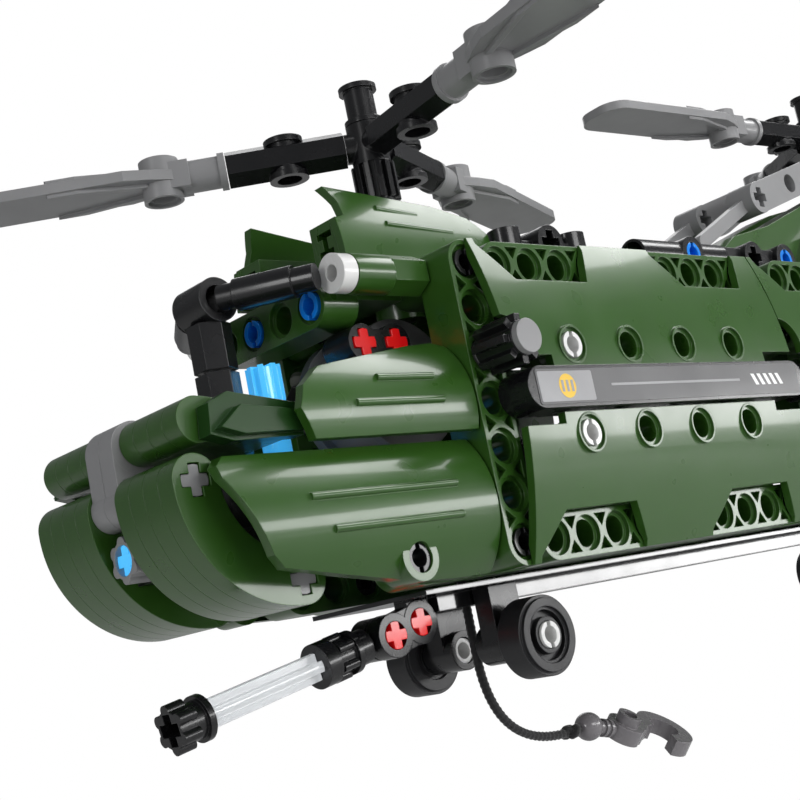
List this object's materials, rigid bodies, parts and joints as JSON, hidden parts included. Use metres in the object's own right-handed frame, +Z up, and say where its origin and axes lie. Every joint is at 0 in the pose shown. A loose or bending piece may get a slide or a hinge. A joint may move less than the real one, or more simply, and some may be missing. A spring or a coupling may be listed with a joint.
{
  "type": "helicopter scale model",
  "caption": "Beam-and-panel scale model of a tandem-rotor transport helicopter with spinning rotors, rolling wheels, a side-knob winch with hook, a nose gun and a rear ramp.",
  "frame": {"origin": "on the flat lower face of the belly plate, on the centreline, under the front frame uprights", "axes": "+X from nose to tail, +Y to starboard, +Z up"},
  "size_m": [0.2918, 0.1615, 0.1567],
  "materials": {
    "green_plastic": "glossy moulded",
    "black_plastic": "semi-gloss moulded",
    "light_grey_plastic": "semi-gloss moulded",
    "wheel_black": "satin",
    "white_plastic": "glossy moulded",
    "blue_plastic": "glossy moulded",
    "red_plastic": "glossy moulded",
    "cord": "braided",
    "dark_grey_plastic": "semi-gloss moulded",
    "clear_blue_plastic": "translucent",
    "clear_plastic": "translucent"
  },
  "bodies": {
    "fuselage": {"frame_uprights": "green_plastic", "lower_rails": "green_plastic", "upper_rails": "green_plastic", "inner_beams": "green_plastic", "cross_axles": "black_plastic", "belly_plate": "black_plastic", "roof_deck": "green_plastic", "panel_upper_port": "green_plastic", "panel_upper_stbd": "green_plastic", "panel_lower_port": "green_plastic", "panel_lower_stbd": "green_plastic", "side_bars": "black_plastic", "frame_pins": "black_plastic", "white_pins": "white_plastic", "blue_pins": "blue_plastic", "red_axles": "red_plastic", "nose_arches": "green_plastic", "nose_axles": "light_grey_plastic", "nose_cap": "green_plastic", "nose_strips": "light_grey_plastic", "nose_block": "black_plastic", "lamp_bush": "light_grey_plastic", "clear_blue_axles": "clear_blue_plastic", "nose_wedges": "green_plastic", "cheeks_lower": "green_plastic", "cheeks_upper": "green_plastic", "windshield_beam": "green_plastic", "windshield_pillar": "black_plastic", "windshield_bars": "black_plastic", "roof_tubes": "green_plastic", "tube_bushes": "white_plastic", "cockpit_roof": "green_plastic", "cockpit_links": "black_plastic", "mast_fairings": "green_plastic", "roof_connectors": "black_plastic", "gun_mount": "black_plastic", "gear_legs": "black_plastic", "tail_beams": "light_grey_plastic", "tail_fairings": "green_plastic"},
    "winch": {"winch_knob": "black_plastic", "winch_axle": "light_grey_plastic", "winch_drum": "light_grey_plastic"},
    "hook_line": {"cargo_hook": "dark_grey_plastic", "winch_cord": "cord"},
    "front_rotor": {"front_mast": "black_plastic", "front_hub": "black_plastic", "front_arms": "black_plastic", "front_blades": "light_grey_plastic"},
    "rear_rotor": {"rear_mast": "black_plastic", "rear_hub": "black_plastic", "rear_arms": "black_plastic", "rear_blades": "light_grey_plastic"},
    "gun": {"gun_yoke": "black_plastic", "gun_barrel": "clear_plastic", "gun_muzzle": "black_plastic"},
    "ramp": {"cargo_ramp": "green_plastic"},
    "nose_wheel_port": {"wheel_nose_port": "wheel_black"},
    "nose_wheel_stbd": {"wheel_nose_stbd": "wheel_black"},
    "rear_wheel_port": {"wheel_rear_port": "wheel_black"},
    "rear_wheel_stbd": {"wheel_rear_stbd": "wheel_black"}
  },
  "joints": [
    {"name": "front_rotor_spin", "type": "hinge", "parent": "fuselage", "child": "front_rotor", "pos_m": [0.0104, 0, 0.0892], "axis": [0, 0, 1], "continuous": true},
    {"name": "rear_rotor_spin", "type": "hinge", "parent": "fuselage", "child": "rear_rotor", "pos_m": [0.1792, 0, 0.108], "axis": [0, 0, 1], "continuous": true},
    {"name": "winch_turn", "type": "hinge", "parent": "fuselage", "child": "winch", "pos_m": [0, 0, 0.04], "axis": [0, 1, 0], "range_deg": [-190, 90]},
    {"name": "hook_travel", "type": "slide", "parent": "fuselage", "child": "hook_line", "axis": [0, 0, 1], "range_m": [-0.039, 0.019], "deforming": ["winch_cord"]},
    {"name": "gun_elevation", "type": "hinge", "parent": "fuselage", "child": "gun", "pos_m": [-0.01024, 0, -0.00264], "axis": [0, 1, 0], "range_deg": [-3, 8]},
    {"name": "ramp_hinge", "type": "hinge", "parent": "fuselage", "child": "ramp", "pos_m": [0.1828, 0, 0.0052], "axis": [0, 1, 0], "range_deg": [0, 50]},
    {"name": "nose_wheel_port_roll", "type": "hinge", "parent": "fuselage", "child": "nose_wheel_port", "pos_m": [0.012, -0.01488, -0.0076], "axis": [0, 1, 0], "continuous": true},
    {"name": "nose_wheel_stbd_roll", "type": "hinge", "parent": "fuselage", "child": "nose_wheel_stbd", "pos_m": [0.012, 0.01488, -0.0076], "axis": [0, 1, 0], "continuous": true},
    {"name": "rear_wheel_port_roll", "type": "hinge", "parent": "fuselage", "child": "rear_wheel_port", "pos_m": [0.168, -0.02368, -0.0076], "axis": [0, 1, 0], "continuous": true},
    {"name": "rear_wheel_stbd_roll", "type": "hinge", "parent": "fuselage", "child": "rear_wheel_stbd", "pos_m": [0.168, 0.02368, -0.0076], "axis": [0, 1, 0], "continuous": true}
  ],
  "couplings": [
    {"joint": "hook_travel", "follows": "winch_turn", "m_per_rad": 0.01136}
  ]
}
